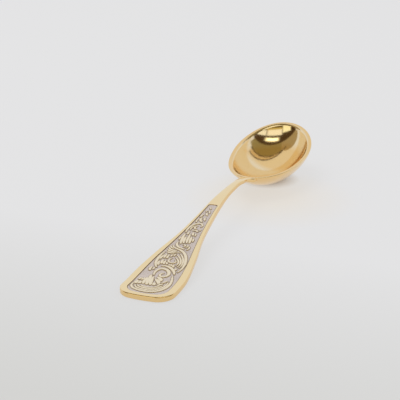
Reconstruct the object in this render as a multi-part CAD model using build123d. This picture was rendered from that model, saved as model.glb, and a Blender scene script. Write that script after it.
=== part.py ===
from build123d import *
import os
from math import pi, radians, sin, sqrt, tan

# A gold-plated souvenir teaspoon, in millimetres. +Y runs from the handle's broad end to the
# bowl's tip, X across, +Z up. The origin is the middle of the spoon's footprint on the table.
# The spoon is one stamped blank. A grey nickel plate is let into the handle's top face, and
# the gilt scroll ornaments lie on that plate, each motif a group of separate raised blades.

# Overall size
spoon_length = 140.0

# Bowl: two half ellipsoids that meet at the widest station
bowl_length = 49.8
bowl_width = 29.0
bowl_stem_half = 26.0          # from the bowl's stem end to its widest station
rim_height_stem = 8.4
rim_height_tip = 16.3
rim_sag = 2.3                  # how far the rim's line dips between its two ends
bowl_round_height = 17.0       # the ellipsoids' centre stands this high over the table
rim_wall = 1.6
bowl_floor = 1.3
bowl_foot_cut = 0.08           # ground off under the bowl, which leaves its small flat foot

# Handle, seen from the side: the corners of its top line, each rounded by a radius
handle_thickness = 1.7
neck_thickness = 2.0
foot_flat_length = 11.0        # the broad end lies flat on the table for this length
arch_start = 65.0              # from the handle's end to the arch's first corner
arch_height = 10.6
neck_run = 10.0                # from the arch's second corner to the stem's end in the bowl's wall
lift_radius = 60.0
arch_radius = 105.0
shoulder_radius = 50.0
root_thickness = 1.2           # what is left of the stem inside the bowl's wall

# Handle, seen from above
half_widths = [                # (distance from the handle's end, half width)
    (11.0, 8.4),
    (25.0, 6.7),
    (37.0, 4.3),
    (50.0, 2.8),
]
neck_half_widths = [           # (distance from the bowl's stem end, half width)
    (17.7, 1.5),
    (7.7, 1.5),
    (0.0, 3.2),
]
end_corner_radius = 5.2
end_sag = 1.1

# Field plate, let into a pocket in the handle
pocket_depth = 0.6
plate_recess = 0.15            # the plate's face lies this far below the border
plate_clearance = 0.06
field_half_widths = [          # (distance from the handle's end, half width)
    (10.0, 6.25),
    (20.0, 5.65),
    (30.0, 4.2),
    (40.0, 2.85),
    (50.0, 1.95),
    (55.5, 1.6),
]
field_margin = 1.5             # from the handle's end to the pocket
field_corner_radius = 3.6
field_tip_corner = 0.9
field_tip_slope = 0.06         # how fast the pocket's sides still close in at its narrow end

# Scrollwork
relief_height = 0.22           # how far it stands proud of the plate
blade_end_share = 0.35         # a blade's width at its two ends, as a share of its widest
blade_swell = 0.6              # under 1, a blade gains its width fast and holds it
blade_steps = 9                # points along each side of a blade's outline

handle_end = -spoon_length / 2
bowl_tip = spoon_length / 2
bowl_root = bowl_tip - bowl_length
bowl_widest = bowl_root + bowl_stem_half
stem_end = bowl_root + 2 * rim_wall
semi_height = bowl_round_height + bowl_foot_cut
far_up = 40.0                  # past everything, for the shapes that cut
far_side = 60.0
fillet_share = 0.99            # a side line's fillet takes at most this much of its room
rim_overrun = 5.0              # the rim's line is drawn this far past the bowl at each end


def rim_height(y):
    share = (y - bowl_root) / bowl_length
    line = rim_height_stem + (rim_height_tip - rim_height_stem) * share
    return line - 4 * rim_sag * share * (1 - share)


def share_at(height):
    """The share of its full width that the bowl's ellipsoid has at a height."""
    return sqrt(1 - ((bowl_round_height - height) / semi_height) ** 2)


semi_across = bowl_width / 2 / share_at(rim_height(bowl_widest))
semi_stem = bowl_stem_half / share_at(rim_height_stem)
semi_tip = (bowl_length - bowl_stem_half) / share_at(rim_height_tip)


def wall_height(y, inset, floor):
    """The height of the bowl's outer or inner face on the centre line, on its stem half."""
    share = (bowl_widest - y) / (semi_stem - inset)
    return bowl_round_height - (semi_height - floor) * sqrt(1 - share**2)


def corner_radii(corners, wanted):
    """Each wanted radius, or the largest that the runs beside its corner leave room for."""
    runs = [Vector(*after) - Vector(*before) for before, after in zip(corners, corners[1:])]
    room = [run.length / 2 for run in runs]
    room[0], room[-1] = runs[0].length, runs[-1].length
    radii = []
    for i, radius in enumerate(wanted):
        half_turn = radians(runs[i].get_angle(runs[i + 1])) / 2
        radii.append(min(radius, fillet_share * min(room[i], room[i + 1]) / tan(half_turn)))
    return radii


def side_line(drop, thinning=0.0, root_lift=0.0):
    """The handle's top line in the side view, lowered by drop, and by thinning more at the neck."""
    wall_middle = (wall_height(stem_end, 0, 0) + wall_height(stem_end, rim_wall, bowl_floor)) / 2
    corners = [
        (handle_end, handle_thickness - drop),
        (handle_end + foot_flat_length, handle_thickness - drop),
        (handle_end + arch_start, arch_height - drop - thinning),
        (stem_end - neck_run, arch_height - drop - thinning),
        (stem_end, wall_middle + root_thickness / 2 - drop - thinning + root_lift),
    ]
    wanted = [lift_radius, arch_radius, shoulder_radius]
    return FilletPolyline(*corners, radius=corner_radii(corners, wanted))


def side_slab(top, bottom):
    """A slab across the handle between two side lines."""
    ends = [Line(top @ 0, bottom @ 0), Line(top @ 1, bottom @ 1)]
    face = make_face([top, bottom, *ends])
    return extrude(Plane.YZ * face, amount=far_side, both=True)


def prism(face):
    """An upright prism through the whole height of the spoon."""
    return Pos(0, 0, -far_up / 2) * extrude(face, amount=far_up)


def blank_outline():
    """The handle from above: a shallow end arc, two rounded corners and hollow tapering sides."""
    right = [(half, handle_end + along) for along, half in half_widths]
    right += [(half, bowl_root - along) for along, half in neck_half_widths]
    left = [(-x, y) for x, y in reversed(right)]
    root = neck_half_widths[-1][1]
    side_right = Spline(right, tangents=[(0, 1), (1, 1)])
    side_left = Spline(left, tangents=[(1, -1), (0, -1)])
    corner_y = handle_end + end_sag
    wide = half_widths[0][1]
    end = ThreePointArc((-wide, corner_y), (0, handle_end), (wide, corner_y))
    lines = [
        side_right,
        side_left,
        end,
        Line(end @ 1, side_right @ 0),
        Line(side_left @ 1, end @ 0),
        Polyline(side_right @ 1, (root, stem_end), (-root, stem_end), side_left @ 0),
    ]
    face = make_face(lines)
    corners = face.vertices().sort_by(Axis.Y)[:2]
    return fillet(corners, end_corner_radius)


def field_outline(inset):
    """The pocket's outline, or with an inset the plate's."""
    right = [(half - inset, handle_end + along) for along, half in field_half_widths]
    left = [(-x, y) for x, y in reversed(right)]
    side_right = Spline(right, tangents=[(0, 1), (-field_tip_slope, 1)])
    side_left = Spline(left, tangents=[(-field_tip_slope, -1), (0, -1)])
    wide = right[0][0]
    near = handle_end + field_margin + inset
    corner_y = near + end_sag
    end = ThreePointArc((-wide, corner_y), (0, near), (wide, corner_y))
    tip_y = right[-1][1] + 2 * field_tip_corner - inset
    narrow = right[-1][0]
    lines = [
        side_right,
        side_left,
        end,
        Line(end @ 1, side_right @ 0),
        Line(side_left @ 1, end @ 0),
        Polyline(side_right @ 1, (narrow, tip_y), (-narrow, tip_y), side_left @ 0),
    ]
    face = make_face(lines)
    by_y = face.vertices().sort_by(Axis.Y)
    face = fillet(by_y[:2], field_corner_radius - inset)
    tips = face.vertices().sort_by(Axis.Y)[-2:]
    return fillet(tips, field_tip_corner)


def ellipsoid(across, stem_half, tip_half, height):
    """Two half ellipsoids on one centre, met at the bowl's widest station."""
    halves = []
    for along, side in ((stem_half, -1), (tip_half, 1)):
        whole = scale(Sphere(1), by=(across, along, height))
        halves.append(whole & Pos(0, side * far_side / 2, 0) * Box(far_side, far_side, far_side))
    return Pos(0, bowl_widest, bowl_round_height) * (halves[0] + halves[1])


def bowl_shapes():
    """The bowl's outer body, cut along its rim and foot, and the hollow inside it."""
    outer = ellipsoid(semi_across, semi_stem, semi_tip, semi_height)
    hollow = ellipsoid(
        semi_across - rim_wall, semi_stem - rim_wall, semi_tip - rim_wall, semi_height - bowl_floor
    )
    stations = bowl_root - rim_overrun, (bowl_root + bowl_tip) / 2, bowl_tip + rim_overrun
    rim_line = ThreePointArc(*[(y, rim_height(y)) for y in stations])
    before, _, after = stations
    above = make_face(
        [rim_line, Polyline(rim_line @ 0, (before, far_up), (after, far_up), rim_line @ 1)]
    )
    outer -= extrude(Plane.YZ * above, amount=far_side, both=True)
    outer -= Pos(0, 0, -far_up / 2) * Box(2 * spoon_length, 2 * spoon_length, far_up)
    return outer, hollow


outer_bowl, bowl_hollow = bowl_shapes()
stem_bottom = side_line(
    handle_thickness, neck_thickness - handle_thickness, neck_thickness - root_thickness
)
handle = side_slab(side_line(0), stem_bottom)
handle &= prism(blank_outline())
pocket = side_slab(side_line(-far_up / 2), side_line(pocket_depth)) & prism(field_outline(0))
spoon_body = outer_bowl + handle - bowl_hollow - pocket

field_plate = side_slab(side_line(plate_recess), side_line(pocket_depth))
field_plate &= prism(field_outline(plate_clearance))


def blade(width, *points):
    """A leaf or a stretch of stem from above: widest at its middle, along a line through points."""
    middle = Spline(*[(x, handle_end + along) for x, along in points])
    left, right = [], []
    for step in range(blade_steps + 1):
        share = step / blade_steps
        swell = blade_end_share + (1 - blade_end_share) * sin(pi * share) ** blade_swell
        heading = middle % share
        across = Vector(-heading.Y, heading.X) * (width / 2 * swell)
        left.append(middle @ share + across)
        right.append(middle @ share - across)
    side_left, side_right = Spline(*left), Spline(*right)
    ends = [Line(left[0], right[0]), Line(left[-1], right[-1])]
    return make_face([side_left, side_right, *ends])


# Each motif is a list of blades: a blade's greatest width, then the points along its middle,
# each as (x, distance from the handle's end).
motifs = {
    "end_crescent": [
        (0.85, (-5.1, 6.7), (-4.9, 4.8), (-3.1, 3.1), (0, 2.5), (2.4, 3.1),
         (4.1, 4.7), (4.9, 7.4), (4.75, 10.4), (4.0, 13.3)),
        (1.1, (-3.0, 4.8), (-0.4, 4.4), (1.4, 4.9), (2.9, 6.1), (3.9, 8.0)),
    ],
    "end_leaves": [
        (1.0, (-3.4, 6.1), (-4.3, 7.2), (-4.7, 8.4), (-4.8, 9.6)),
        (0.6, (-3.1, 7.1), (-3.5, 8.2), (-3.8, 9.2)),
        (0.8, (-1.7, 7.0), (-2.1, 8.4), (-2.6, 9.8), (-3.6, 10.8)),
        (0.8, (-0.7, 6.9), (-1.1, 8.4), (-1.7, 10.2), (-2.4, 12.0), (-3.4, 13.6)),
        (0.7, (0.6, 7.0), (0.35, 8.2), (-0.3, 9.4), (-0.9, 10.8), (-1.35, 12.0)),
        (1.3, (1.6, 7.4), (1.7, 8.8), (1.1, 10.3), (0.1, 11.5)),
        (0.5, (3.4, 8.7), (2.7, 8.0), (2.6, 7.2)),
    ],
    "end_volute": [
        (0.8, (-1.9, 12.8), (-2.2, 14.2), (-2.0, 15.8), (-1.2, 16.9), (0, 17.2),
         (1.2, 16.6), (2.1, 15.3), (2.2, 14.0), (1.3, 13.0), (0.2, 13.3),
         (-0.15, 14.2), (0.5, 14.9)),
    ],
    "middle_scroll": [
        (0.7, (4.0, 14.4), (3.4, 15.8), (2.3, 17.1), (1.0, 18.1), (-0.2, 18.7), (-1.2, 18.7)),
        (0.7, (-1.9, 18.3), (-2.7, 18.1), (-3.3, 18.8), (-3.8, 19.8), (-4.0, 21.1)),
        (0.65, (4.2, 16.7), (4.6, 18.5), (4.7, 20.6), (4.3, 22.7), (3.6, 24.6), (2.8, 26.1)),
        (0.45, (3.75, 21.9), (3.35, 23.5), (2.55, 24.75), (1.5, 25.5), (0.7, 25.9)),
        (0.5, (3.8, 19.4), (3.6, 21.2), (2.9, 22.7), (1.8, 23.7), (0.6, 24.3)),
    ],
    "middle_leaves": [
        (0.6, (-4.2, 15.6), (-3.8, 16.7), (-4.1, 17.7)),
        (0.7, (-1.3, 19.3), (-2.1, 19.8), (-2.6, 20.9)),
        (0.5, (-0.8, 19.7), (-1.2, 20.6), (-1.9, 21.6)),
        (0.5, (0.2, 19.4), (-0.2, 20.3), (0.5, 21.3), (1.2, 20.9), (1.5, 19.8)),
        (0.7, (3.3, 17.6), (2.8, 18.8), (2.4, 20.1)),
        (0.5, (2.5, 21.2), (1.8, 22.0), (0.8, 22.4)),
        (0.6, (-2.0, 22.3), (-2.5, 23.3), (-2.3, 24.7)),
        (0.5, (-1.3, 22.7), (-1.6, 23.7), (-1.2, 24.8)),
        (0.5, (-0.4, 22.7), (-0.3, 23.5), (0.6, 23.3)),
        (0.6, (-4.7, 22.2), (-4.1, 23.1), (-4.1, 24.4), (-3.8, 25.6)),
        (0.4, (-3.4, 22.5), (-3.3, 23.8), (-3.2, 25.1)),
    ],
    "neck_leaves": [
        (0.5, (-3.3, 26.7), (-2.4, 26.2), (-1.4, 25.9), (-0.5, 25.9)),
        (0.6, (-2.9, 27.8), (-2.0, 27.2), (-0.8, 27.0), (0.6, 26.8), (1.8, 26.5)),
        (0.6, (-2.8, 30.0), (-2.3, 29.2), (-1.2, 28.4), (0.2, 28.0), (1.5, 27.7), (2.4, 27.0)),
    ],
    "neck_curl": [
        (0.5, (-1.7, 31.5), (-1.7, 30.7), (-1.1, 29.9), (-0.3, 29.4), (0.4, 29.4),
         (0.8, 30.1), (0.6, 30.9), (-0.2, 31.2), (-0.7, 30.8)),
        (0.5, (1.7, 28.7), (2.1, 29.7), (2.0, 30.7), (1.5, 31.4)),
    ],
    "spray_leaves": [
        (0.8, (0.6, 32.0), (-0.5, 32.4), (-1.3, 33.2), (-2.0, 34.2), (-2.5, 35.2)),
        (0.6, (-0.5, 33.3), (-0.8, 34.5), (-1.2, 35.7), (-1.8, 36.7)),
        (0.7, (1.2, 32.7), (1.2, 33.9), (1.0, 35.0), (0.5, 35.9)),
        (0.6, (0.3, 34.0), (0.0, 35.0), (-0.3, 36.2), (-0.8, 37.5)),
        (0.6, (1.7, 35.4), (1.4, 36.4), (0.8, 37.3)),
    ],
    "upper_scroll": [
        (0.6, (-1.8, 38.0), (-2.15, 39.6), (-2.15, 41.5), (-1.7, 43.1), (-0.9, 44.3),
         (0.1, 44.7), (1.0, 44.2), (1.2, 43.3), (0.5, 42.7)),
        (0.4, (0.5, 41.4), (-0.1, 42.0), (-0.6, 42.8)),
        (0.6, (-1.3, 41.0), (-0.5, 40.4), (0.5, 39.9), (1.4, 39.0)),
        (0.5, (-1.1, 39.2), (-0.3, 38.6), (0.5, 38.0)),
    ],
    "tip_sprig": [
        (0.4, (-0.7, 45.6), (-1.0, 46.3), (-0.9, 47.1)),
        (0.6, (0.6, 45.6), (0.1, 46.4), (0.1, 47.5)),
        (0.5, (-0.7, 47.7), (-1.0, 48.5), (-0.6, 49.3)),
        (0.5, (0.8, 48.7), (0.4, 49.7), (-0.2, 50.5)),
        (0.5, (0.7, 50.9), (0.2, 51.7), (-0.4, 52.4)),
        (0.4, (0.6, 53.1), (0.1, 53.6), (-0.3, 54.4)),
    ],
}

relief_slab = side_slab(side_line(plate_recess - relief_height), side_line(plate_recess))
parts = {"spoon_body": spoon_body, "field_plate": field_plate}
for name, blades in motifs.items():
    raised = ShapeList()
    for width, *points in blades:
        raised += (relief_slab & prism(blade(width, *points))).solids()
    parts[name] = Compound(raised)

os.makedirs("parts", exist_ok=True)
for name, shape in parts.items():
    export_step(shape, f"parts/{name}.step")
    print(name, len(shape.solids()), "solids", round(shape.volume, 1), "mm3")
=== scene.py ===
from math import asin, atan2, cos, pi, radians, sin, sqrt, tan

import bmesh
import bpy
from mathutils import Matrix, Vector, kdtree


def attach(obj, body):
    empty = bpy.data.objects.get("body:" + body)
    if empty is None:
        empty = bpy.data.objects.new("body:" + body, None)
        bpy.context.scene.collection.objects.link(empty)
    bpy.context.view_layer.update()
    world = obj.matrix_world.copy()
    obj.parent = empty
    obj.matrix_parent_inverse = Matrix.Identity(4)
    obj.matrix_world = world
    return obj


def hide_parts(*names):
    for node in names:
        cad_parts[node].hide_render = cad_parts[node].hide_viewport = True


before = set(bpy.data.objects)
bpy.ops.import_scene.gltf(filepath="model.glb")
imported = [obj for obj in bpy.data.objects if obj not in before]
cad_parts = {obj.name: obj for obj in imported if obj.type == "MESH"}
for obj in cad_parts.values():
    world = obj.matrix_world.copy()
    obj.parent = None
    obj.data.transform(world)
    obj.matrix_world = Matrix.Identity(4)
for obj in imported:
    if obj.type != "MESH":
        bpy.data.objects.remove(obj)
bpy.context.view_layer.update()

# ---------------------------------------------------------------------------------------------
# The spoon's bowl: a stamped shell of brass sheet, egg-shaped from above, deepest at its widest
# station, with a rounded rim that climbs to the tip. It is one blank with the handle, which is
# joined to it in the next section, and both get their gold there.

mm = 0.001                     # the meshes are drawn in millimetres and then brought to metres
spoon_length = 140.0
handle_end = -spoon_length / 2
bowl_tip = spoon_length / 2
bowl_length = 49.8
bowl_width = 29.0
bowl_stem_half = 26.0          # from the bowl's stem end to its widest station
bowl_root = bowl_tip - bowl_length
bowl_widest = bowl_root + bowl_stem_half
rim_height_stem = 8.4
rim_height_tip = 16.3
rim_sag = 2.3                  # how far the rim's line dips between its two ends
rim_wall = 1.6
bowl_floor = 1.3
round_height = 17.0            # height of the bowl's centre
foot_cut = 0.08                # ground off under the bowl, which leaves its small flat foot
semi_height = round_height + foot_cut
rim_roll = 0.7                 # the rim's inner edge rolls over into the bowl within this depth
rim_round = 0.75               # and its outer edge within this one
rim_crest = 0.65               # where the rim is highest, from its inner edge to its outer
bowl_segments = 192
inner_rings = 40
outer_rings = 40
edge_rings = 16
first_ring = 0.5               # the ring round the middle point is this share of a step wide
past_bowl = 40.0               # farther from the bowl's centre than its rim is anywhere
endless = 1000.0
halvings = 40


def rim_height(y):
    share = (y - bowl_root) / bowl_length
    line = rim_height_stem + (rim_height_tip - rim_height_stem) * share
    return line - 4 * rim_sag * share * (1 - share)


def share_at(height):
    """The share of its full width that the bowl's ellipsoid has at a height."""
    return sqrt(1 - ((round_height - height) / semi_height) ** 2)


semi_across = bowl_width / 2 / share_at(rim_height(bowl_widest))
semi_stem = bowl_stem_half / share_at(rim_height_stem)
semi_tip = (bowl_length - bowl_stem_half) / share_at(rim_height_tip)


def bowl_height(x, y, inset, floor):
    """The height of the bowl's face over a point; past its edge the face counts as endless."""
    along = semi_stem if y < bowl_widest else semi_tip
    rest = 1 - (x / (semi_across - inset)) ** 2 - ((y - bowl_widest) / (along - inset)) ** 2
    if rest < 0:
        return endless
    return max(round_height - (semi_height - floor) * sqrt(rest), 0.0)


def inner_face(x, y):
    return bowl_height(x, y, rim_wall, bowl_floor)


def outer_face(x, y):
    return bowl_height(x, y, 0.0, 0.0)


def reach_at(turn, face, drop):
    """How far from the bowl's centre, in one direction, its face comes within drop of the rim."""
    near, far = 0.0, past_bowl
    for _ in range(halvings):
        reach = (near + far) / 2
        x, y = reach * cos(turn), bowl_widest + reach * sin(turn)
        if face(x, y) < rim_height(y) - drop:
            near = reach
        else:
            far = reach
    return near


def rounded(start, corner, stop, share):
    """A point on the curve that rounds a corner, from start to stop."""
    return start * (1 - share) ** 2 + 2 * corner * share * (1 - share) + stop * share**2


def verts_in(items):
    return [item for item in items if isinstance(item, bmesh.types.BMVert)]


def edges_in(items):
    return [item for item in items if isinstance(item, bmesh.types.BMEdge)]


def new_object(name, bm):
    """Makes a finished mesh an object in the scene, with smooth faces."""
    mesh = bpy.data.meshes.new(name)
    bm.to_mesh(mesh)
    bm.free()
    mesh.shade_smooth()
    piece = bpy.data.objects.new(name, mesh)
    bpy.context.scene.collection.objects.link(piece)
    return piece


bm = bmesh.new()
bmesh.ops.create_circle(bm, segments=bowl_segments, radius=1.0)
turn_layer = bm.verts.layers.float.new("turn")
reaches = {}
for vert in bm.verts:
    vert[turn_layer] = atan2(vert.co.y, vert.co.x)
    turn = vert[turn_layer]
    reaches[turn] = (
        reach_at(turn, inner_face, rim_roll),
        reach_at(turn, inner_face, 0.0),
        reach_at(turn, outer_face, 0.0),
        reach_at(turn, outer_face, rim_round),
    )


def place(vert, reach, height):
    """Moves a point along its own direction from the bowl's centre, to the height there."""
    turn = vert[turn_layer]
    x, y = reach * cos(turn), bowl_widest + reach * sin(turn)
    vert.co = (x, y, height(x, y))


ring_edges = list(bm.edges)
for vert in bm.verts:
    inner_low = reaches[vert[turn_layer]][0]
    place(vert, inner_low / inner_rings * first_ring, inner_face)
cap = bmesh.ops.contextual_create(bm, geom=ring_edges)["faces"]
bmesh.ops.poke(bm, faces=cap)
rings = [("inner", sin(pi / 2 * step / inner_rings)) for step in range(2, inner_rings + 1)]
rings += [("rim", step / edge_rings) for step in range(1, edge_rings)]
rings += [("outer", sin(pi / 2 * step / outer_rings)) for step in range(outer_rings, 0, -1)]
for kind, share in rings:
    made = bmesh.ops.extrude_edge_only(bm, edges=ring_edges)["geom"]
    ring_edges = edges_in(made)
    for vert in verts_in(made):
        inner_low, inner_edge, outer_edge, outer_low = reaches[vert[turn_layer]]
        crest = inner_edge + (outer_edge - inner_edge) * rim_crest
        if kind == "inner":
            place(vert, inner_low * share, inner_face)
        elif kind == "outer":
            place(vert, outer_low * share, outer_face)
        elif share <= 0.5:
            fall = rounded(rim_roll, 0.0, 0.0, share * 2)
            reach = rounded(inner_low, inner_edge, crest, share * 2)
            place(vert, reach, lambda x, y: rim_height(y) - fall)
        else:
            fall = rounded(0.0, 0.0, rim_round, share * 2 - 1)
            reach = rounded(crest, outer_edge, outer_low, share * 2 - 1)
            place(vert, reach, lambda x, y: rim_height(y) - fall)
cap = bmesh.ops.contextual_create(bm, geom=ring_edges)["faces"]
bmesh.ops.poke(bm, faces=cap)
bmesh.ops.recalc_face_normals(bm, faces=bm.faces)
bowl = new_object("bowl_shell", bm)

# ---------------------------------------------------------------------------------------------
# The handle: part of the same blank, flat and broad at its end, narrowing to a slim neck that
# arches down into the bowl. Its edges are tumbled round, and a shallow pocket with a narrow
# polished border is pressed into its top face.

handle_thickness = 1.7
neck_thickness = 2.0
foot_flat_length = 11.0        # the broad end lies flat on the table for this length
arch_start = 65.0              # from the handle's end to the arch's first corner
arch_height = 10.6
neck_run = 10.0                # from the arch's second corner to the stem's end in the bowl's wall
side_radii = (60.0, 105.0, 50.0)
root_thickness = 1.2           # what is left of the stem inside the bowl's wall
stem_end = bowl_root + 2 * rim_wall
stem_stop = bowl_root + 1.3 * rim_wall   # the drawn stem stops inside the rim
root_rise = 0.2                # it is filed level with the rim where they meet
root_run = 6.0
blank_length = spoon_length - bowl_length
half_widths = [                # (distance from the handle's end, half width)
    (11.0, 8.4), (25.0, 6.7), (37.0, 4.3), (50.0, 2.8),
    (blank_length - 17.7, 1.5), (blank_length - 7.7, 1.5), (blank_length, 3.2),
]
end_corner_radius = 5.2
end_sag = 1.1                  # how far the end bows out between its corners
pocket_depth = 0.6
plate_recess = 0.15            # the plate's face lies this far below the border
plate_clearance = 0.06
field_half_widths = [(10.0, 6.25), (20.0, 5.65), (30.0, 4.2), (40.0, 2.85), (50.0, 1.95), (55.5, 1.6)]
field_margin = 1.5             # from the handle's end to the pocket
field_corner_radius = 3.6
field_tip_corner = 0.9
field_tip_slope = -0.06
field_end_fade = 9.0           # the pocket's rows follow the curve of its end for this length
field_tip_fade = 3.0           # and the curve of its tip for this one
border_past_tip = 1.6          # the border goes on this far past the pocket's tip
edge_round = 0.33
edge_segments = 4
edge_room = 0.45               # the outermost strip of the top is this wide, to hold its rounding
neck_crown = 0.35              # the neck's top and underside fall away this much at its sides
crown_power = 2.2
crown_start = -11.0
crown_run = 12.0
crown_fade = 8.0
pocket_columns = 20
pocket_steps = (5, 70, 4)      # rows round the end's corners, along the sides and round the tip's
border_rings = (0.15, 1.0)     # the border's rings, from the pocket's edge to the blank's
neck_steps = 60
hair = 1e-4                    # two places nearer than this are the same
sharp_angle = radians(50)


def curve_through(stations, first_slope, last_slope, at):
    """A smooth curve through (place, value) stations, with its slopes at the two ends given."""
    slopes = [first_slope]
    for (p0, v0), (p1, v1), (p2, v2) in zip(stations, stations[1:], stations[2:]):
        before, after = (v1 - v0) / (p1 - p0), (v2 - v1) / (p2 - p1)
        slopes.append((before * (p2 - p1) + after * (p1 - p0)) / (p2 - p0))
    slopes.append(last_slope)
    at = min(max(at, stations[0][0]), stations[-1][0])
    for i, (p1, v1) in enumerate(stations[1:]):
        if at <= p1:
            p0, v0 = stations[i]
            run = p1 - p0
            t = (at - p0) / run
            return (
                v0 * (1 + 2 * t) * (1 - t) ** 2 + v1 * t * t * (3 - 2 * t)
                + slopes[i] * run * t * (1 - t) ** 2 - slopes[i + 1] * run * t * t * (1 - t)
            )


def blank_half(along):
    return curve_through(half_widths, 0.0, 1.0, along)


def field_half(along):
    return curve_through(field_half_widths, 0.0, field_tip_slope, along)


def held(share):
    """A share, held between none and all."""
    return min(max(share, 0.0), 1.0)


def eased(share):
    """A share that leaves none and reaches all gently."""
    share = held(share)
    return share * share * (3 - 2 * share)


wall_middle = (outer_face(0, stem_end) + inner_face(0, stem_end)) / 2


def side_line(y, drop=0.0, thinning=0.0, root_lift=0.0):
    """The height of the handle's top line at a station: straight runs joined by arcs."""
    corners = [
        Vector((handle_end - 1, handle_thickness - drop)),
        Vector((handle_end + foot_flat_length, handle_thickness - drop)),
        Vector((handle_end + arch_start, arch_height - drop - thinning)),
        Vector((stem_end - neck_run, arch_height - drop - thinning)),
        Vector((stem_end, wall_middle + root_thickness / 2 - drop - thinning + root_lift)),
    ]
    for i, radius in enumerate(side_radii, start=1):
        before = (corners[i] - corners[i - 1]).normalized()
        after = (corners[i + 1] - corners[i]).normalized()
        turn = before.x * after.y - before.y * after.x
        reach = radius * tan(abs(asin(turn)) / 2)
        start, stop = corners[i] - before * reach, corners[i] + after * reach
        if y < start.x:
            return start.y + (y - start.x) * before.y / before.x
        if y <= stop.x:
            side = 1 if turn > 0 else -1
            centre = start + side * radius * Vector((-before.y, before.x))
            return centre.y - side * sqrt(radius**2 - (y - centre.x) ** 2)
    return stop.y + (y - stop.x) * after.y / after.x


def crown_at(x, y):
    """How far the neck's rounding falls away at a point, from none on its middle line."""
    rise = held((y - crown_start) / crown_run)
    fade = held((stem_end - y) / crown_fade)
    return neck_crown * rise * fade * held(abs(x) / blank_half(y - handle_end)) ** crown_power


def top_height(x, y):
    rise = eased((y - bowl_root + root_run) / root_run)
    return side_line(y) - crown_at(x, y) + root_rise * rise


def bottom_height(x, y):
    line = side_line(
        y, handle_thickness, neck_thickness - handle_thickness, neck_thickness - root_thickness
    )
    return max(line + crown_at(x, y), 0.0)


def end_depth(x, wide, near, corner):
    """How far behind the handle's tip an outline's end lies: a shallow arc with round corners."""
    flat = wide - corner
    if abs(x) <= flat:
        return near + end_sag * (x / wide) ** 2
    over = min(abs(x) - flat, corner)
    return near + end_sag * (flat / wide) ** 2 + corner - sqrt(corner**2 - over**2)


def outline_side(half_at, wide, near, corner, far, tip_corner, steps):
    """Points (half width, distance from the end) from the middle of the end's corner to the tip."""
    turn_steps, side_steps, tip_steps = steps
    base = near + end_sag * ((wide - corner) / wide) ** 2 + corner
    points = []
    for step in range(turn_steps):
        angle = radians(45 + 45 * step / turn_steps)
        points.append((wide - corner + corner * sin(angle), base - corner * cos(angle)))
    for step in range(side_steps + 1):
        along = base + (far - tip_corner - base) * step / side_steps
        points.append((half_at(along), along))
    for step in range(1, tip_steps + 1):
        angle = radians(45 * step / tip_steps)
        half = half_at(far) - tip_corner * (1 - cos(angle))
        points.append((half, far - tip_corner * (1 - sin(angle))))
    return points


field_wide = field_half(0)
field_far = field_half_widths[-1][0] + 2 * field_tip_corner
blank_wide = blank_half(0)
border_far = field_far + border_past_tip


def field_side(inset, steps):
    return outline_side(
        lambda along: field_half(along) - inset, field_wide - inset, field_margin + inset,
        field_corner_radius - inset, field_far - inset, field_tip_corner, steps,
    )


def field_point(u, row, side, inset):
    """A point of the pocket's outline or inside it, from its share across and its row along."""
    half, along = side[row]
    wide, near, corner = field_wide - inset, field_margin + inset, field_corner_radius - inset
    first_half, first_along = side[0]
    end_bulge = end_depth(first_half * u, wide, near, corner) - first_along
    end_fade = max(1 - (along - first_along) / field_end_fade, 0.0)
    last_half, last_along = side[-1]
    tip_over = max(abs(last_half * u) - (last_half - field_tip_corner * sin(pi / 4)), 0.0)
    tip_rise = field_tip_corner * (1 - cos(pi / 4))
    tip_bulge = tip_rise - (field_tip_corner - sqrt(field_tip_corner**2 - tip_over**2))
    tip_fade = max(1 - (last_along - along) / field_tip_fade, 0.0)
    return half * u, along + end_bulge * end_fade + tip_bulge * tip_fade


side = field_side(0.0, pocket_steps)
rows = len(side) - 1
bm = bmesh.new()
bmesh.ops.create_grid(bm, x_segments=pocket_columns, y_segments=rows, size=1.0)
across_layer = bm.verts.layers.float.new("across")
row_layer = bm.verts.layers.int.new("row")
for vert in bm.verts:
    vert[across_layer] = vert.co.x
    vert[row_layer] = round((vert.co.y + 1) / 2 * rows)
    x, along = field_point(vert.co.x, vert[row_layer], side, 0.0)
    vert.co = (x, handle_end + along, 0)
field_faces = list(bm.faces)

# The blank's edge has a point opposite each row of the pocket's, with as many round its corner.
turn_steps = pocket_steps[0]
blank_flat = blank_wide - end_corner_radius
blank_base = end_sag * (blank_flat / blank_wide) ** 2 + end_corner_radius
blank_rows = []
for row in range(rows + 1):
    if row < turn_steps:
        angle = radians(45 + 45 * row / turn_steps)
        half = blank_flat + end_corner_radius * sin(angle)
        blank_rows.append((half, blank_base - end_corner_radius * cos(angle)))
    else:
        along = blank_base + (border_far - blank_base) * (row - turn_steps) / (rows - turn_steps)
        blank_rows.append((blank_half(along), along))


def across_blank(u, along):
    """The place across the blank of a column, with room for the rounding at the outermost one."""
    half = blank_half(along)
    inner_column = 1 - 2 / pocket_columns
    return half * u if abs(u) > inner_column + hair else (half - edge_room) * u / inner_column


def blank_point(u, row):
    """The blank's edge opposite a point of the pocket's edge."""
    if row == 0:
        x = blank_rows[0][0] * u
        return x, end_depth(x, blank_wide, 0.0, end_corner_radius)
    if row == rows:
        return across_blank(u, border_far), border_far
    half, along = blank_rows[row]
    return half * (1 if u > 0 else -1), along


ring_edges = [edge for edge in bm.edges if edge.is_boundary]
for share in border_rings:
    made = bmesh.ops.extrude_edge_only(bm, edges=ring_edges)["geom"]
    ring_edges = edges_in(made)
    for vert in verts_in(made):
        u, row = vert[across_layer], vert[row_layer]
        ends = zip(field_point(u, row, side, 0.0), blank_point(u, row))
        x, along = (inner + (outer - inner) * share for inner, outer in ends)
        vert.co = (x, handle_end + along, 0)


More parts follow.
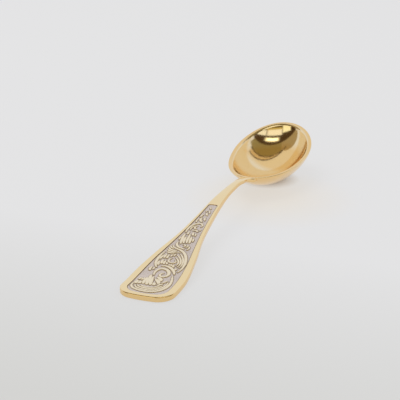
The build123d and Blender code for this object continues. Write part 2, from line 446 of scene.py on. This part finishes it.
def ends_border(vert):
    return vert[row_layer] == rows and abs(vert.co.y - handle_end - border_far) < hair


ring_edges = [edge for edge in ring_edges if all(ends_border(vert) for vert in edge.verts)]
for step in range(1, neck_steps + 1):
    made = bmesh.ops.extrude_edge_only(bm, edges=ring_edges)["geom"]
    ring_edges = edges_in(made)
    along = border_far + (stem_stop - handle_end - border_far) * step / neck_steps
    for vert in verts_in(made):
        vert.co = (across_blank(vert[across_layer], along), handle_end + along, 0)


def add_underside(bm, verts, edges, faces):
    """Copies a sheet to be a piece's underside; gives its points and the open edges of both."""
    copied = bmesh.ops.duplicate(bm, geom=verts + edges + faces)["geom"]
    under_faces = [item for item in copied if isinstance(item, bmesh.types.BMFace)]
    bmesh.ops.reverse_faces(bm, faces=under_faces)
    return verts_in(copied), [edge for edge in edges + edges_in(copied) if edge.is_boundary]


top = list(bm.verts)
under, outline_edges = add_underside(bm, top, list(bm.edges), list(bm.faces))
for vert in top:
    vert.co.z = top_height(vert.co.x, vert.co.y)
for vert in under:
    vert.co.z = bottom_height(vert.co.x, vert.co.y)
bmesh.ops.bridge_loops(bm, edges=outline_edges)
bmesh.ops.recalc_face_normals(bm, faces=bm.faces)

pressed = bmesh.ops.extrude_face_region(bm, geom=field_faces)["geom"]
for vert in verts_in(pressed):
    vert.co.z -= pocket_depth
bmesh.ops.delete(bm, geom=[face for face in field_faces if face.is_valid], context="FACES")
bmesh.ops.bevel(
    bm, geom=[edge for edge in outline_edges if edge.is_valid], offset=edge_round,
    offset_type="OFFSET", segments=edge_segments, profile=0.5, affect="EDGES", material=-1,
)
bmesh.ops.recalc_face_normals(bm, faces=bm.faces)
bmesh.ops.triangulate(bm, faces=[face for face in bm.faces if len(face.verts) > 4])
handle = new_object("handle_blank", bm)

join = bowl.modifiers.new("join", "BOOLEAN")
join.operation = "UNION"
join.solver = "EXACT"
join.object = handle
bpy.context.view_layer.update()
joined = bpy.data.meshes.new_from_object(bowl.evaluated_get(bpy.context.evaluated_depsgraph_get()))
bowl.modifiers.clear()
spoon = bpy.data.objects.new("spoon_blank", joined)
bpy.context.scene.collection.objects.link(spoon)
for spare in (bowl, handle):
    bpy.data.objects.remove(spare)
bm = bmesh.new()               # the union leaves a few points twice along its seam
bm.from_mesh(joined)
bmesh.ops.remove_doubles(bm, verts=bm.verts, dist=hair)
bm.to_mesh(joined)
bm.free()
joined.transform(Matrix.Scale(mm, 4))
joined.set_sharp_from_angle(angle=sharp_angle)
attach(spoon, "root")
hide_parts("spoon_body")


def linear(code):
    """A linear colour from an sRGB hex value."""
    channels = [int(code[i:i + 2], 16) / 255 for i in (1, 3, 5)]
    return [c / 12.92 if c <= 0.04045 else ((c + 0.055) / 1.055) ** 2.4 for c in channels] + [1.0]


def add(tree, kind, settings=None, **inputs):
    """Adds a node with its settings and inputs, each by its name or, as i0, i1 and so on, by its
    number. A node or socket as a value is a link, and a node gives its first live output."""
    node = tree.nodes.new(kind)
    for key, value in (settings or {}).items():
        setattr(node, key, value)
    for key, value in inputs.items():
        socket = node.inputs[int(key[1:]) if key[1:].isdigit() else key.replace("_", " ")]
        if isinstance(value, bpy.types.Node):
            value = next(output for output in value.outputs if output.enabled)
        if isinstance(value, bpy.types.NodeSocket):
            tree.links.new(value, socket)
        else:
            socket.default_value = value
    return node


def new_material(name):
    material = bpy.data.materials.new(name)
    material.use_nodes = True
    tree = material.node_tree
    tree.nodes.clear()
    return material, tree


# Gold electroplate over polished brass, mirror bright, with the faint patches of haze that a wiped
# spoon gets. The plating is one gold, and its tones are painted reflection: the outside and the edges
# carry the deepest gold, and the handle's upward face and the walls of the hollow are painted paler.
deep_gold = linear("#F6D498")
painted_pale_face_gold = linear("#FEE9BC")
painted_pale_wall_gold = linear("#F9E7C3")
haze_patch = 11.1
root_from, root_to = bowl_root - 0.5, bowl_root + 1.5      # where the handle's tones give way
near_from, near_to = bowl_widest + 7.0, bowl_widest + 4.0  # the hollow is painted paler from here to the stem
high_from, high_to = 7.0, 9.5                              # and from this height up its walls
rim_from, rim_to = 5.5, 7.0                                # all of the rim stands higher than this

gold_plate, tree = new_material("polished_gold_plate")
place_on = add(tree, "ShaderNodeTexCoord").outputs["Object"]
_, along, height = add(tree, "ShaderNodeSeparateXYZ", Vector=place_on).outputs
facing = add(tree, "ShaderNodeNewGeometry").outputs["Normal"]
upward = add(tree, "ShaderNodeSeparateXYZ", Vector=facing).outputs["Z"]
haze = add(tree, "ShaderNodeTexNoise", Vector=place_on, Scale=1 / (haze_patch * mm), Detail=3.0)
rough = add(tree, "ShaderNodeMapRange", Value=haze, To_Min=0.10, To_Max=0.15)
# Upward faces of the handle painted paler: a painted reflection tone.
flat = add(tree, "ShaderNodeMapRange", Value=upward, From_Min=0.5, From_Max=0.92)
handle_tone = add(
    tree, "ShaderNodeMix", {"data_type": "RGBA"}, Factor=flat, i6=deep_gold, i7=painted_pale_face_gold,
)
near = add(tree, "ShaderNodeMapRange", Value=along, From_Min=near_from * mm, From_Max=near_to * mm)
high = add(tree, "ShaderNodeMapRange", Value=height, From_Min=high_from * mm, From_Max=high_to * mm)
walls = add(tree, "ShaderNodeMath", {"operation": "MAXIMUM"}, i0=near, i1=high)
level = add(tree, "ShaderNodeMapRange", Value=upward, From_Min=0.7, From_Max=0.95)
raised = add(tree, "ShaderNodeMapRange", Value=height, From_Min=rim_from * mm, From_Max=rim_to * mm)
on_rim = add(tree, "ShaderNodeMath", {"operation": "MULTIPLY"}, i0=level, i1=raised)
inside = add(tree, "ShaderNodeMapRange", Value=upward, From_Min=0.05, From_Max=0.25)
hollow = add(
    tree, "ShaderNodeMath", {"operation": "SUBTRACT", "use_clamp": True}, i0=inside, i1=on_rim,
)
# The hollow's walls painted paler, the rim and the outside left deep: a painted reflection tone.
painted_pale_walls = add(tree, "ShaderNodeMath", {"operation": "MULTIPLY"}, i0=walls, i1=hollow)
bowl_tone = add(
    tree, "ShaderNodeMix", {"data_type": "RGBA"}, Factor=painted_pale_walls, i6=deep_gold, i7=painted_pale_wall_gold,
)
in_bowl = add(
    tree, "ShaderNodeMapRange", Value=along, From_Min=root_from * mm, From_Max=root_to * mm,
)
tone = add(
    tree, "ShaderNodeMix", {"data_type": "RGBA"}, Factor=in_bowl, i6=handle_tone, i7=bowl_tone,
)
gold = add(tree, "ShaderNodeBsdfPrincipled", Base_Color=tone, Metallic=1.0, Roughness=rough)
add(tree, "ShaderNodeOutputMaterial", Surface=gold)
joined.materials.clear()
joined.materials.append(gold_plate)

# ---------------------------------------------------------------------------------------------
# The gilt scrollwork: leaves and stems of a running acanthus scroll, die-struck in relief in thin
# brass and gilded a shade paler than the spoon. Each motif is a group of separate blades, soldered
# to the field plate; the die leaves each blade domed, and the broad ones with a sunk vein.

relief_height = 0.22
relief_bedding = 0.01          # the blades' undersides lie this far into the solder
blade_columns = 8
blade_step = 0.25              # one row of faces for this much of a blade's length
blade_rows = 6                 # and never fewer than these
blade_fullness = 1.36          # how much wider the worn and plated blades stand than their drawing
blade_end_share = 0.35         # a blade's width at its two ends, as a share of its widest
blade_swell = 0.6              # under 1, a blade gains its width fast and holds it
edge_share = 0.3               # the height of a blade's edge, as a share of its crest's
dome_power = 2.5               # over 2, a blade's back is broad and its sides are steep
dome_at_ends = 0.4
vein_from = 0.64               # blades at least this wide have a vein
vein_half = 0.1                # its half width, as a share of the blade's
vein_depth = 0.2
fine_steps = 12


def smooth_line(points):
    """Close-set points on a smooth curve through a few given ones, with the length so far."""
    ends = [points[0] * 2 - points[1], *points, points[-1] * 2 - points[-2]]
    fine = []
    for p0, p1, p2, p3 in zip(ends, ends[1:], ends[2:], ends[3:]):
        for step in range(fine_steps):
            t = step / fine_steps
            bend = (p0 * 2 - p1 * 5 + p2 * 4 - p3) * t**2 + (p1 * 3 - p0 - p2 * 3 + p3) * t**3
            fine.append(p1 + ((p2 - p0) * t + bend) / 2)
    fine.append(points[-1])
    lengths = [0.0]
    for before, after in zip(fine, fine[1:]):
        lengths.append(lengths[-1] + (after - before).length)
    return fine, lengths


def on_line(fine, lengths, share):
    """The point and the heading at a share of a smooth line's length."""
    reach = share * lengths[-1]
    i = 1
    while i < len(lengths) - 1 and lengths[i] < reach:
        i += 1
    run = (fine[i] - fine[i - 1]).normalized()
    return fine[i - 1] + run * (reach - lengths[i - 1]), run


def plate_top(y):
    return side_line(y) - plate_recess


def add_blade(bm, crest_layer, drawn_width, points):
    """One domed leaf or stretch of stem, closed underneath, along a line through the points.
    Gives the places of its foot on the plate."""
    width = drawn_width * blade_fullness
    fine, lengths = smooth_line([Vector((x, handle_end + along)) for x, along in points])
    rows = max(round(lengths[-1] / blade_step), blade_rows)
    top = bmesh.ops.create_grid(bm, x_segments=blade_columns, y_segments=rows, size=1.0)["verts"]
    edges = list(dict.fromkeys(edge for vert in top for edge in vert.link_edges))
    faces = list(dict.fromkeys(face for vert in top for face in vert.link_faces))
    under, foot_edges = add_underside(bm, top, edges, faces)
    for vert in top + under:
        across, share = vert.co.x, (vert.co.y + 1) / 2
        swell = sin(pi * held(share)) ** blade_swell
        centre, run = on_line(fine, lengths, share)
        half = width / 2 * (blade_end_share + (1 - blade_end_share) * swell)
        x, y = centre + Vector((-run.y, run.x)) * (across * half)
        dome = (1 - abs(across) ** dome_power) * (dome_at_ends + (1 - dome_at_ends) * swell)
        if width >= vein_from and abs(across) < vein_half:
            dome *= 1 - vein_depth * swell
        vert[crest_layer] = dome
        vert.co = (x, y, plate_top(y) + relief_height * (edge_share + (1 - edge_share) * dome))
    for vert in under:
        vert[crest_layer] = 0.0
        vert.co.z = plate_top(vert.co.y) - relief_bedding
    bmesh.ops.bridge_loops(bm, edges=foot_edges)
    below = set(under)
    return [(vert.co.x, vert.co.y) for edge in foot_edges for vert in edge.verts if vert in below]


# Each blade: its greatest width, then the points along its middle, each as (x, distance from the
# handle's end).
motifs = {
    "end_crescent": [
        (0.85, (-5.5, 7.4), (-5.4, 5.6), (-4.3, 4.1), (-2.4, 3.3), (0, 3.0), (2.1, 3.5), (3.7, 4.9),
         (4.6, 7.0), (4.85, 9.4), (4.5, 11.8), (3.7, 14.2)),
        (0.7, (-4.6, 6.3), (-3.7, 4.9), (-2.0, 4.15), (0, 3.95), (1.8, 4.4), (3.0, 5.6), (3.8, 7.3),
         (4.05, 9.2), (3.9, 10.6)),
        (0.7, (-3.9, 6.5), (-2.9, 5.45), (-1.2, 4.95), (0.4, 4.95), (1.8, 5.5), (2.7, 6.7), (3.2, 8.1)),
        (0.65, (-2.9, 6.4), (-1.6, 5.85), (0.0, 5.75), (1.2, 6.2), (2.0, 7.1), (2.4, 7.9)),
    ],
    "end_leaves": [
        (1.0, (-4.6, 6.9), (-5.0, 8.0), (-4.9, 9.1)),
        (0.9, (-3.6, 7.1), (-3.9, 8.1), (-3.7, 9.0)),
        (0.75, (-4.9, 9.5), (-4.75, 10.3), (-4.2, 10.9)),
        (0.7, (-4.1, 9.5), (-3.8, 10.3), (-3.5, 11.2)),
        (0.9, (-2.5, 7.3), (-2.9, 8.6), (-3.0, 10.0), (-2.9, 11.6)),
        (1.0, (-1.4, 7.1), (-1.8, 8.6), (-2.1, 10.2), (-2.3, 11.8), (-2.6, 13.2)),
        (0.95, (-0.3, 7.2), (-0.7, 8.5), (-1.15, 9.9), (-1.4, 11.2), (-1.5, 12.4)),
        (0.85, (0.8, 7.3), (0.45, 8.4), (0.1, 9.3)),
        (1.0, (1.6, 8.6), (1.3, 9.7), (0.5, 10.6), (-0.4, 11.3)),
        (1.0, (1.6, 10.4), (1.3, 11.4), (0.5, 12.1), (-0.4, 12.5)),
        (0.75, (1.6, 7.6), (2.3, 8.4), (2.9, 9.2)),
        (0.6, (2.3, 9.5), (3.0, 10.3), (3.4, 11.3)),
    ],
    "end_volute": [
        (0.85, (-1.75, 13.2), (-2.15, 14.4), (-2.0, 15.9), (-1.2, 17.0), (0.05, 17.2), (1.2, 16.7),
         (2.1, 15.4), (2.15, 14.1), (1.4, 13.2), (0.35, 13.2), (-0.2, 14.0), (0.2, 14.8), (0.75, 14.9)),
    ],
    "middle_scroll": [
        (0.8, (3.9, 15.0), (3.2, 16.5), (2.1, 17.7), (0.8, 18.5), (-0.6, 18.8), (-1.7, 18.4)),
        (0.75, (-2.7, 17.4), (-3.4, 18.3), (-4.0, 19.6), (-4.3, 21.2), (-4.4, 23.0), (-4.2, 24.8),
         (-3.8, 26.2)),
        (0.75, (4.3, 16.4), (4.75, 18.2), (4.8, 20.2), (4.45, 22.3), (3.8, 24.2), (2.9, 25.9),
         (1.7, 27.3), (0.4, 28.2), (-1.0, 28.7), (-2.3, 29.4), (-3.0, 30.4)),
        (0.5, (3.8, 18.5), (4.05, 20.1), (3.8, 21.9), (3.2, 23.5), (2.2, 25.1), (1.0, 26.3)),
        (0.5, (3.1, 18.9), (3.35, 20.4), (3.1, 21.9), (2.4, 23.4), (1.4, 24.6), (0.3, 25.3)),
        (0.5, (2.4, 19.5), (2.65, 20.7), (2.35, 21.9), (1.6, 23.1), (0.6, 23.9)),
        (0.55, (-0.1, 23.4), (-0.8, 22.4), (-0.6, 21.4), (0.3, 20.8), (1.2, 20.9), (1.6, 21.7),
         (1.0, 22.5)),
    ],
    "middle_leaves": [
        (0.7, (-4.0, 15.3), (-4.4, 16.4), (-4.2, 17.6)),
        (0.55, (-3.2, 15.9), (-3.4, 16.7), (-3.3, 17.4)),
        (0.7, (-2.7, 18.7), (-3.2, 19.7), (-3.4, 21.0)),
        (0.7, (-2.1, 19.5), (-2.5, 20.7), (-2.5, 22.0)),
        (0.65, (-1.3, 19.4), (-1.6, 20.5), (-1.6, 21.7)),
        (0.55, (-0.4, 19.5), (-0.7, 20.3), (-1.0, 20.9)),
        (0.6, (0.6, 19.2), (0.3, 19.9)),
        (0.65, (-3.6, 21.8), (-3.6, 23.0), (-3.3, 24.4)),
        (0.65, (-2.6, 22.7), (-2.8, 23.9), (-2.7, 25.2)),
        (0.6, (-1.7, 22.6), (-1.9, 23.7), (-1.8, 24.9)),
        (0.55, (-0.9, 23.8), (-1.0, 24.6), (-0.8, 25.4)),
        (0.5, (0.0, 24.4), (-0.2, 25.1), (0.0, 25.9)),
        (0.7, (3.4, 17.3), (2.9, 18.2)),
        (0.6, (2.2, 18.5), (1.8, 19.2), (1.7, 20.0)),
        (0.5, (1.3, 19.0), (1.0, 19.7), (0.9, 20.2)),
    ],
    "neck_leaves": [
        (0.65, (-3.2, 26.4), (-2.4, 26.0), (-1.5, 25.9), (-0.5, 26.2)),
        (0.65, (-3.6, 27.6), (-2.6, 26.9), (-1.4, 26.7), (-0.1, 26.8), (1.0, 27.0)),
        (0.65, (-3.6, 28.8), (-2.8, 27.9), (-1.6, 27.5), (-0.4, 27.6)),
        (0.5, (-3.5, 29.8), (-2.8, 28.9), (-1.8, 28.4)),
    ],
    "neck_curl": [
        (0.65, (1.4, 28.8), (0.5, 29.2), (-0.6, 29.6), (-1.5, 30.3), (-2.1, 31.3), (-2.2, 32.6)),
        (0.5, (0.5, 30.0), (0.9, 30.7), (0.5, 31.4), (-0.2, 31.2)),
        (0.5, (1.4, 29.7), (1.7, 30.7), (1.4, 31.7)),
        (0.5, (2.2, 28.5), (2.5, 29.6), (2.3, 30.8)),
    ],
    "spray_leaves": [
        (0.75, (-1.0, 31.5), (-1.4, 32.9), (-1.65, 34.4), (-1.9, 36.1), (-2.0, 37.7)),
        (0.45, (-2.4, 33.6), (-2.55, 34.7), (-2.5, 35.8)),
        (0.7, (-0.2, 32.0), (-0.6, 33.2), (-0.85, 34.6), (-1.0, 36.1)),
        (0.7, (0.7, 32.2), (0.3, 33.5), (0.05, 35.0), (-0.1, 36.4), (-0.4, 37.7)),
        (0.7, (1.5, 32.4), (1.2, 33.7), (0.95, 35.1), (0.75, 36.4)),
        (0.5, (2.1, 33.5), (1.95, 34.6), (1.6, 35.6)),
        (0.6, (0.9, 37.0), (0.5, 38.0), (0.3, 39.1)),
        (0.55, (-1.0, 37.2), (-1.2, 38.3), (-1.0, 39.3)),
        (0.45, (1.6, 36.7), (1.5, 37.7), (1.2, 38.6)),
    ],
    "upper_scroll": [
        (0.7, (-2.1, 38.3), (-2.3, 39.8), (-2.2, 41.3), (-1.8, 42.8), (-1.0, 44.0), (0.0, 44.7),
         (1.0, 44.4), (1.5, 43.5), (1.3, 42.5)),
        (0.5, (-1.3, 40.1), (-1.4, 41.2), (-1.1, 42.2), (-0.5, 43.1)),
        (0.55, (0.6, 41.1), (-0.2, 41.3), (-0.4, 42.2), (0.2, 43.1)),
        (0.6, (1.5, 39.4), (0.9, 40.1), (0.2, 40.2), (-0.6, 39.9)),
        (0.5, (2.0, 40.4), (1.5, 41.1)),
    ],
    "tip_sprig": [
        (0.45, (-1.3, 44.9), (-1.5, 46.0), (-1.4, 47.1)),
        (0.65, (0.6, 45.7), (-0.2, 46.3), (-0.6, 47.3), (-0.6, 48.5)),
        (0.55, (1.1, 46.6), (0.6, 47.6), (0.4, 48.8)),
        (0.55, (-1.2, 48.3), (-1.1, 49.4), (-0.7, 50.4)),
        (0.55, (0.6, 49.9), (0.1, 50.8), (-0.2, 51.7)),
        (0.45, (0.8, 51.3), (0.5, 52.3), (0.1, 53.1)),
        (0.4, (-0.7, 52.0), (-0.5, 53.0)),
        (0.45, (0.3, 53.9), (0.0, 54.6), (-0.3, 55.4)),
    ],
}

# Gilding over struck brass: bright on the crests, which are burnished, duller and browner in the cuts
# between them, partly from less burnish and partly painted shade, with worn blotches about a millimetre
# across.
low_gilt_and_shade = linear("#E0D0AE")
crest_gilt = linear("#FDF1D8")
wear_patch = 1.11
wear_share = 0.5               # how much of the crests' brightness the blotches take or give

gilt, tree = new_material("pale_gilding")
place_on = add(tree, "ShaderNodeTexCoord").outputs["Object"]
crest = add(tree, "ShaderNodeAttribute", {"attribute_name": "crest"}).outputs["Fac"]
blotches = add(
    tree, "ShaderNodeTexNoise", Vector=place_on, Scale=1 / (wear_patch * mm), Detail=3.0,
)
worn = add(
    tree, "ShaderNodeMath", {"operation": "MULTIPLY_ADD"}, i0=blotches, i1=wear_share,
    i2=-wear_share / 2,
)
worn_crest = add(tree, "ShaderNodeMath", {"operation": "ADD"}, i0=crest, i1=worn)
# Low places of the blades darker: less burnish in part, painted shade in part.
bright = add(tree, "ShaderNodeMapRange", Value=worn_crest, From_Min=0.1, From_Max=0.55)
tone = add(tree, "ShaderNodeMix", {"data_type": "RGBA"}, Factor=bright, i6=low_gilt_and_shade, i7=crest_gilt)
rough = add(tree, "ShaderNodeMapRange", Value=bright, To_Min=0.55, To_Max=0.28)
gilded = add(tree, "ShaderNodeBsdfPrincipled", Base_Color=tone, Metallic=1.0, Roughness=rough)
add(tree, "ShaderNodeOutputMaterial", Surface=gilded)

blade_feet = []
for name, blades in motifs.items():
    bm = bmesh.new()
    crest_layer = bm.verts.layers.float.new("crest")
    for width, *points in blades:
        blade_feet += add_blade(bm, crest_layer, width, points)
    bmesh.ops.recalc_face_normals(bm, faces=bm.faces)
    bmesh.ops.scale(bm, vec=(mm, mm, mm), verts=bm.verts)
    piece = new_object("gilt_" + name, bm)
    piece.data.materials.append(gilt)
    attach(piece, "root")
    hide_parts(name)

# ---------------------------------------------------------------------------------------------
# The field plate: nickel silver sheet, let into the pocket, its face etched to a matt grey with a lilac
# cast. Round the ornaments and along its edge it is darker and browner: patina in part, painted shade
# in part.

plate_columns = 104
plate_steps = (16, 420, 8)     # rows round the end's corners, along the sides and round the tip's
plate_lift = 0.02              # between the plate's underside and the pocket's floor
patina_shade_full = 0.05             # the patina and painted shade are whole this near to a blade or the edge
patina_shade_reach = 0.24            # and fade out at this distance

side = field_side(plate_clearance, plate_steps)
rows = len(side) - 1
bm = bmesh.new()
patina_shade_layer = bm.verts.layers.float.new("patina_shade")
top = bmesh.ops.create_grid(bm, x_segments=plate_columns, y_segments=rows, size=1.0)["verts"]
for vert in top:
    row = round((vert.co.y + 1) / 2 * rows)
    x, along = field_point(vert.co.x, row, side, plate_clearance)
    vert.co = (x, handle_end + along, 0)
stops = [Vector((x, y, 0)) for x, y in blade_feet]
stops += [vert.co.copy() for vert in top if vert.is_boundary]
stop_tree = kdtree.KDTree(len(stops))
for i, stop in enumerate(stops):
    stop_tree.insert(stop, i)
stop_tree.balance()
# Patina and painted shade: darker the nearer a blade's foot or the plate's edge.
for vert in top:
    away = stop_tree.find(vert.co)[2]
    vert[patina_shade_layer] = 1 - eased((away - patina_shade_full) / (patina_shade_reach - patina_shade_full))
    vert.co.z = plate_top(vert.co.y)
rim = [edge for edge in bm.edges if edge.is_boundary]
made = bmesh.ops.extrude_edge_only(bm, edges=rim)["geom"]
for vert in verts_in(made):
    vert.co.z = side_line(vert.co.y) - pocket_depth + plate_lift
under = bmesh.ops.contextual_create(bm, geom=edges_in(made))["faces"]
bmesh.ops.triangulate(bm, faces=under)
bmesh.ops.recalc_face_normals(bm, faces=bm.faces)
bmesh.ops.scale(bm, vec=(mm, mm, mm), verts=bm.verts)
plate = new_object("etched_field", bm)
plate.data.set_sharp_from_angle(angle=sharp_angle)
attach(plate, "root")
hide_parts("field_plate")

# Nickel silver etched matt: soft and cloudy, with a fine grain of pits, and brown where the patina and
# painted shade lie. Real pits are a few hundredths of a millimetre, and are drawn coarser so that they
# show.
grey_nickel = linear("#DAD0CB")
pale_nickel = linear("#F2E7E4")
brown_patina_shade = linear("#AE9E8D")
cloud_patch = 2.86
pit_size = 0.2
pit_depth = 0.04

nickel, tree = new_material("etched_nickel_silver")
place_on = add(tree, "ShaderNodeTexCoord").outputs["Object"]
patina_shade = add(tree, "ShaderNodeAttribute", {"attribute_name": "patina_shade"}).outputs["Fac"]
grain = add(tree, "ShaderNodeTexNoise", Vector=place_on, Scale=1 / (pit_size * mm), Detail=2.0)
clouds = add(
    tree, "ShaderNodeTexNoise", Vector=place_on, Scale=1 / (cloud_patch * mm), Detail=3.0,
)
clean = add(
    tree, "ShaderNodeMix", {"data_type": "RGBA"}, Factor=clouds, i6=grey_nickel, i7=pale_nickel,
)
tone = add(tree, "ShaderNodeMix", {"data_type": "RGBA"}, Factor=patina_shade, i6=clean, i7=brown_patina_shade)
rough = add(tree, "ShaderNodeMapRange", Value=patina_shade, To_Min=0.45, To_Max=0.7)
pits = add(tree, "ShaderNodeBump", Strength=0.25, Distance=pit_depth * mm, Height=grain)
etched = add(
    tree, "ShaderNodeBsdfPrincipled", Base_Color=tone, Metallic=1.0, Roughness=rough, Normal=pits,
)
add(tree, "ShaderNodeOutputMaterial", Surface=etched)
plate.data.materials.append(nickel)

# ---------------------------------------------------------------------------------------------
# The table top: a wide sheet of pale matt paper. The camera and the metal see much of its tone as its
# own glow, which pales the shadow, least of it close under the bowl, where the shadow is deepest. Its
# front is a little greyer, painted shade for the light's falloff, and a painted warm cast lies beside
# the neck.

paper_half = 1.5               # in metres, as all sizes of the set are
painted_falloff_grey = linear("#D5D5D3")
pale_grey = linear("#E4E4E5")
painted_cast_grey = linear("#E6E1DA")
grey_from, grey_to = -0.125, -0.02
cast_place = (0.007, 0.025, 0.0)
cast_from, cast_to = 0.008, 0.032
foot_place = (0.0, bowl_widest * mm, 0.0)
foot_from, foot_to = 0.005, 0.012
least_glow, most_glow = 0.2, 0.83

bm = bmesh.new()
bmesh.ops.create_grid(bm, x_segments=2, y_segments=2, size=paper_half)
floor = new_object("floor", bm)

paper, tree = new_material("pale_paper")
place_on = add(tree, "ShaderNodeTexCoord").outputs["Object"]
along = add(tree, "ShaderNodeSeparateXYZ", Vector=place_on).outputs["Y"]
# Painted shade: the paper greys towards its front, as the light falls off.
depth = add(tree, "ShaderNodeMapRange", Value=along, From_Min=grey_from, From_Max=grey_to)
shade = add(
    tree, "ShaderNodeMix", {"data_type": "RGBA"}, Factor=depth, i6=painted_falloff_grey, i7=pale_grey,
)
# Painted warm cast beside the neck, for the light that the gold throws.
from_cast = add(
    tree, "ShaderNodeVectorMath", {"operation": "DISTANCE"}, i0=place_on, i1=cast_place,
).outputs["Value"]
painted_warm_cast = add(
    tree, "ShaderNodeMapRange", Value=from_cast, From_Min=cast_from, From_Max=cast_to,
    To_Min=1.0, To_Max=0.0,
)
tone = add(tree, "ShaderNodeMix", {"data_type": "RGBA"}, Factor=painted_warm_cast, i6=shade, i7=painted_cast_grey)
sheet = add(tree, "ShaderNodeBsdfDiffuse", Color=tone)
glow = add(tree, "ShaderNodeEmission", Color=tone, Strength=1.0)
from_foot = add(
    tree, "ShaderNodeVectorMath", {"operation": "DISTANCE"}, i0=place_on, i1=foot_place,
).outputs["Value"]
share = add(
    tree, "ShaderNodeMapRange", Value=from_foot, From_Min=foot_from, From_Max=foot_to,
    To_Min=least_glow, To_Max=most_glow,
)
path = add(tree, "ShaderNodeLightPath").outputs
seen = add(
    tree, "ShaderNodeMath", {"operation": "MAXIMUM"}, i0=path["Is Camera Ray"],
    i1=path["Is Glossy Ray"],
)
glow_share = add(tree, "ShaderNodeMath", {"operation": "MULTIPLY"}, i0=share, i1=seen)
lit = add(tree, "ShaderNodeMixShader", i0=glow_share, i1=sheet, i2=glow)
add(tree, "ShaderNodeOutputMaterial", Surface=lit)
floor.data.materials.append(paper)

# ---------------------------------------------------------------------------------------------
# The camera: a long lens at a forearm's length, looking down on the spoon from its handle's end
# and a little from the right.

look_at = Vector((-15.4, 14.0, 0.0)) * mm
azimuth, elevation = radians(21.63), radians(19.62)
camera_distance = 360.3
back = Vector((sin(azimuth) * cos(elevation), -cos(azimuth) * cos(elevation), sin(elevation)))
camera = bpy.data.objects.new("camera", bpy.data.cameras.new("camera"))
bpy.context.scene.collection.objects.link(camera)
camera.location = look_at + back * camera_distance * mm
camera.rotation_euler = back.to_track_quat("Z", "Y").to_euler()
camera.data.lens = 90.65
camera.data.sensor_width = 36.0
camera.data.clip_start = 0.01
bpy.context.scene.camera = camera

# ---------------------------------------------------------------------------------------------
# The light: an even tent of white cloth all round the table, and one soft lamp above on the left
# that gives the shadow its side.

lamp_place = Vector((-0.45, 0.15, 0.9))

world = bpy.data.worlds.new("light_tent")
bpy.context.scene.world = world
world.use_nodes = True
tent = world.node_tree.nodes["Background"].inputs
tent["Color"].default_value = linear("#FCFBFA")
tent["Strength"].default_value = 0.8

lamp = bpy.data.objects.new("key", bpy.data.lights.new("key", "AREA"))
bpy.context.scene.collection.objects.link(lamp)
lamp.data.energy = 2.4
lamp.data.size = 0.6
lamp.location = lamp_place
lamp.rotation_euler = lamp_place.to_track_quat("Z", "Y").to_euler()
lamp.visible_glossy = False

# ---------------------------------------------------------------------------------------------
# Painted reflections: what the polished metal mirrors, the dark room over the table, a strip lamp in it
# and the tent's bright front panels, as glowing or dark cards that give no light and only mirror rays
# see.
# Each shows in one mirror image only: the first, or the third, which draws a painted line inside the
# bowl's near rim.

room_front = Vector((sin(azimuth), -cos(azimuth), 0.0))
room_right = Vector((cos(azimuth), sin(azimuth), 0.0))
room_up = Vector((0.0, 0.0, 1.0))
room_centre = Vector(foot_place)
card_steps = 24


def card(name, colour, strength, lean, low, high, away=1.2, soft=0.0, image=1.0):
    """A curved card round the bowl: how far it leans to the right, in degrees, at its two sides,
    and how high its lower and upper edges stand at each side, from the front up over the top."""
    bm = bmesh.new()
    cover_layer = bm.verts.layers.float.new("cover")
    bmesh.ops.create_grid(bm, x_segments=card_steps, y_segments=card_steps, size=1.0)
    for vert in bm.verts:
        u, v = (vert.co.x + 1) / 2, (vert.co.y + 1) / 2
        across = radians(lean[0] + (lean[1] - lean[0]) * u)
        bottom, top = low[0] + (low[1] - low[0]) * u, high[0] + (high[1] - high[0]) * u
        over = radians(bottom + (top - bottom) * v)
        ring = room_front * cos(over) + room_up * sin(over)
        vert.co = room_centre + (ring * cos(across) + room_right * sin(across)) * away
        from_edge = min(u, 1 - u, v, 1 - v)
        vert[cover_layer] = eased(from_edge / soft) if soft else 1.0
    piece = new_object(name, bm)
    material, tree = new_material(name)
    card_glow = add(tree, "ShaderNodeEmission", Color=linear(colour), Strength=strength)
    clear = add(tree, "ShaderNodeBsdfTransparent")
    bounce = add(tree, "ShaderNodeLightPath").outputs["Ray Depth"]
    chosen = add(tree, "ShaderNodeMath", {"operation": "COMPARE"}, i0=bounce, i1=image, i2=0.5)
    cover = add(tree, "ShaderNodeAttribute", {"attribute_name": "cover"}).outputs["Fac"]
    covered = add(tree, "ShaderNodeMath", {"operation": "MULTIPLY"}, i0=chosen, i1=cover)
    shown = add(tree, "ShaderNodeMixShader", i0=covered, i1=clear, i2=card_glow)
    add(tree, "ShaderNodeOutputMaterial", Surface=shown)
    piece.data.materials.append(material)
    piece.visible_camera = False
    piece.visible_diffuse = False
    piece.visible_shadow = False
    piece.visible_transmission = False


# One card for each painted reflection.
card("dark_room", "#4C3820", 1.0, (-84, 78), (-4, -4), (57, 76), 1.28)
card("dim_ceiling", "#94865A", 1.0, (-14, 74), (40, 40), (91, 116), 1.3)
card("ceiling_side", "#A6926A", 1.0, (-84, -14), (40, 40), (140, 91), 1.3)
card("rim_shade", "#A88C60", 1.0, (-84, -4), (60, 60), (140, 88), 1.3, image=3.0)
card("ceiling_edge", "#20160A", 1.0, (-30, 64), (86, 113), (89, 118), 1.25)
card("tent_top", "#D9C7A8", 1.0, (-20, 60), (89, 114), (93, 128), 1.25)
card("tent_seam", "#2A1D0E", 1.0, (-18, 58), (92, 127), (95, 131))
card("strip_lamp_glint", "#FFF6D0", 2.3, (-9, 51), (46, 46), (59, 61), soft=0.3)
card("tent_left_panel", "#FFFBE8", 0.98, (44, 76), (16, 16), (42, 42), soft=0.15)
card("tent_front_panel", "#FFF6DE", 1.02, (-19, 47), (17, 17), (41, 41), soft=0.12)
card("tent_right_panel", "#FFF8D0", 1.1, (-61, -15), (-2, -2), (32, 36), soft=0.15)
card("front_shelf", "#C8AE5C", 1.0, (-16, 46), (12, 12), (20, 20))

bpy.context.scene.view_settings.view_transform = "Standard"
